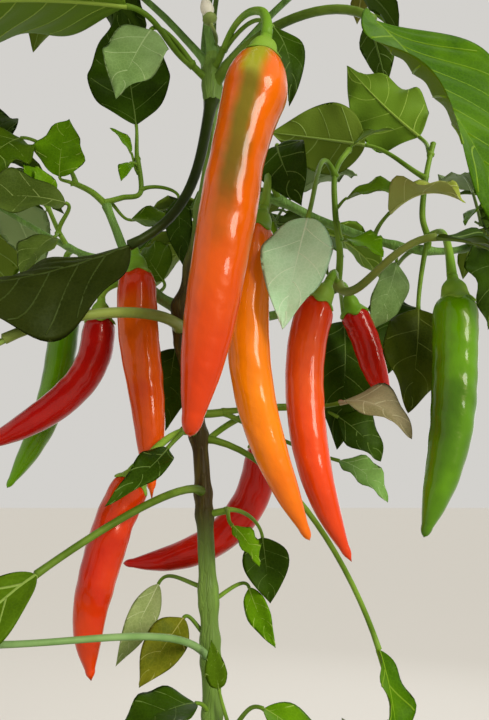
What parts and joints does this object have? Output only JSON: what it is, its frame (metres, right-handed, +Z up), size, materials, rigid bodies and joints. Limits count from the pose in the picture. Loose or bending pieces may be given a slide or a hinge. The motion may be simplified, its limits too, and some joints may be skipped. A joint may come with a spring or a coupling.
{
  "type": "chilli pepper plant in a pot",
  "caption": "Potted chilli pepper plant: one slender leaning stem, arching boughs, broad drooping leaves and long hanging fruits over a round tapered clay pot.",
  "frame": {"origin": "centre of the pot's flat underside", "axes": "+Z up; the plant is seen along +Y, with +X to the right"},
  "size_m": [0.4464, 0.3307, 0.8066],
  "materials": {
    "clay": "unglazed terracotta, matt",
    "compost": "moist crumbly compost",
    "stem": "smooth ridged green stem, corky near the foot",
    "bough": "smooth green",
    "foliage": "leaves satin, fruits glossy",
    "green_fruit": "glossy",
    "red_fruit": "glossy"
  },
  "bodies": {
    "root": {"pot": "clay", "soil": "compost", "main_stem": "stem", "bough_left": "bough", "bough_left_low": "bough", "bough_right": "bough", "bough_right_low": "bough", "bough_top_left": "bough", "bough_top_right": "bough", "bough_top_front": "bough", "bough_back": "bough", "bough_top_back": "bough", "spray_front": "foliage", "spray_middle": "foliage", "spray_top_left": "foliage", "spray_big_left": "foliage", "spray_big_right": "foliage", "spray_left": "foliage", "spray_left_low": "foliage", "fruit_left_green": "green_fruit", "fruit_left_red": "red_fruit", "spray_left_fruit_near": "foliage", "leaf_left_inner": "foliage", "leaf_left_middle": "foliage", "leaf_left_behind": "foliage", "spray_right_inner": "foliage", "spray_right": "foliage", "leaf_right_hanging": "foliage", "leaf_right_outer": "foliage", "leaf_right_ridge": "foliage", "leaf_right_pale": "foliage", "spray_low_right": "foliage", "spray_low_left": "foliage", "spray_behind": "red_fruit", "spray_out_left": "foliage", "spray_low_out_left": "foliage", "leaf_low_pale": "foliage", "leaf_low_spotted": "foliage", "leaf_foot_left": "foliage", "spray_small_right": "foliage", "leaf_low_narrow": "foliage", "spray_low_out_right": "foliage", "spray_foot": "foliage", "crown_back": "foliage", "crown_top": "foliage", "crown_front": "foliage", "crown_left": "foliage", "crown_right": "foliage", "inner_back": "foliage", "side_left": "foliage", "side_right": "foliage", "shoot_low_left": "foliage", "shoot_low_right": "foliage", "shoot_low_front": "foliage"}
  },
  "joints": []
}
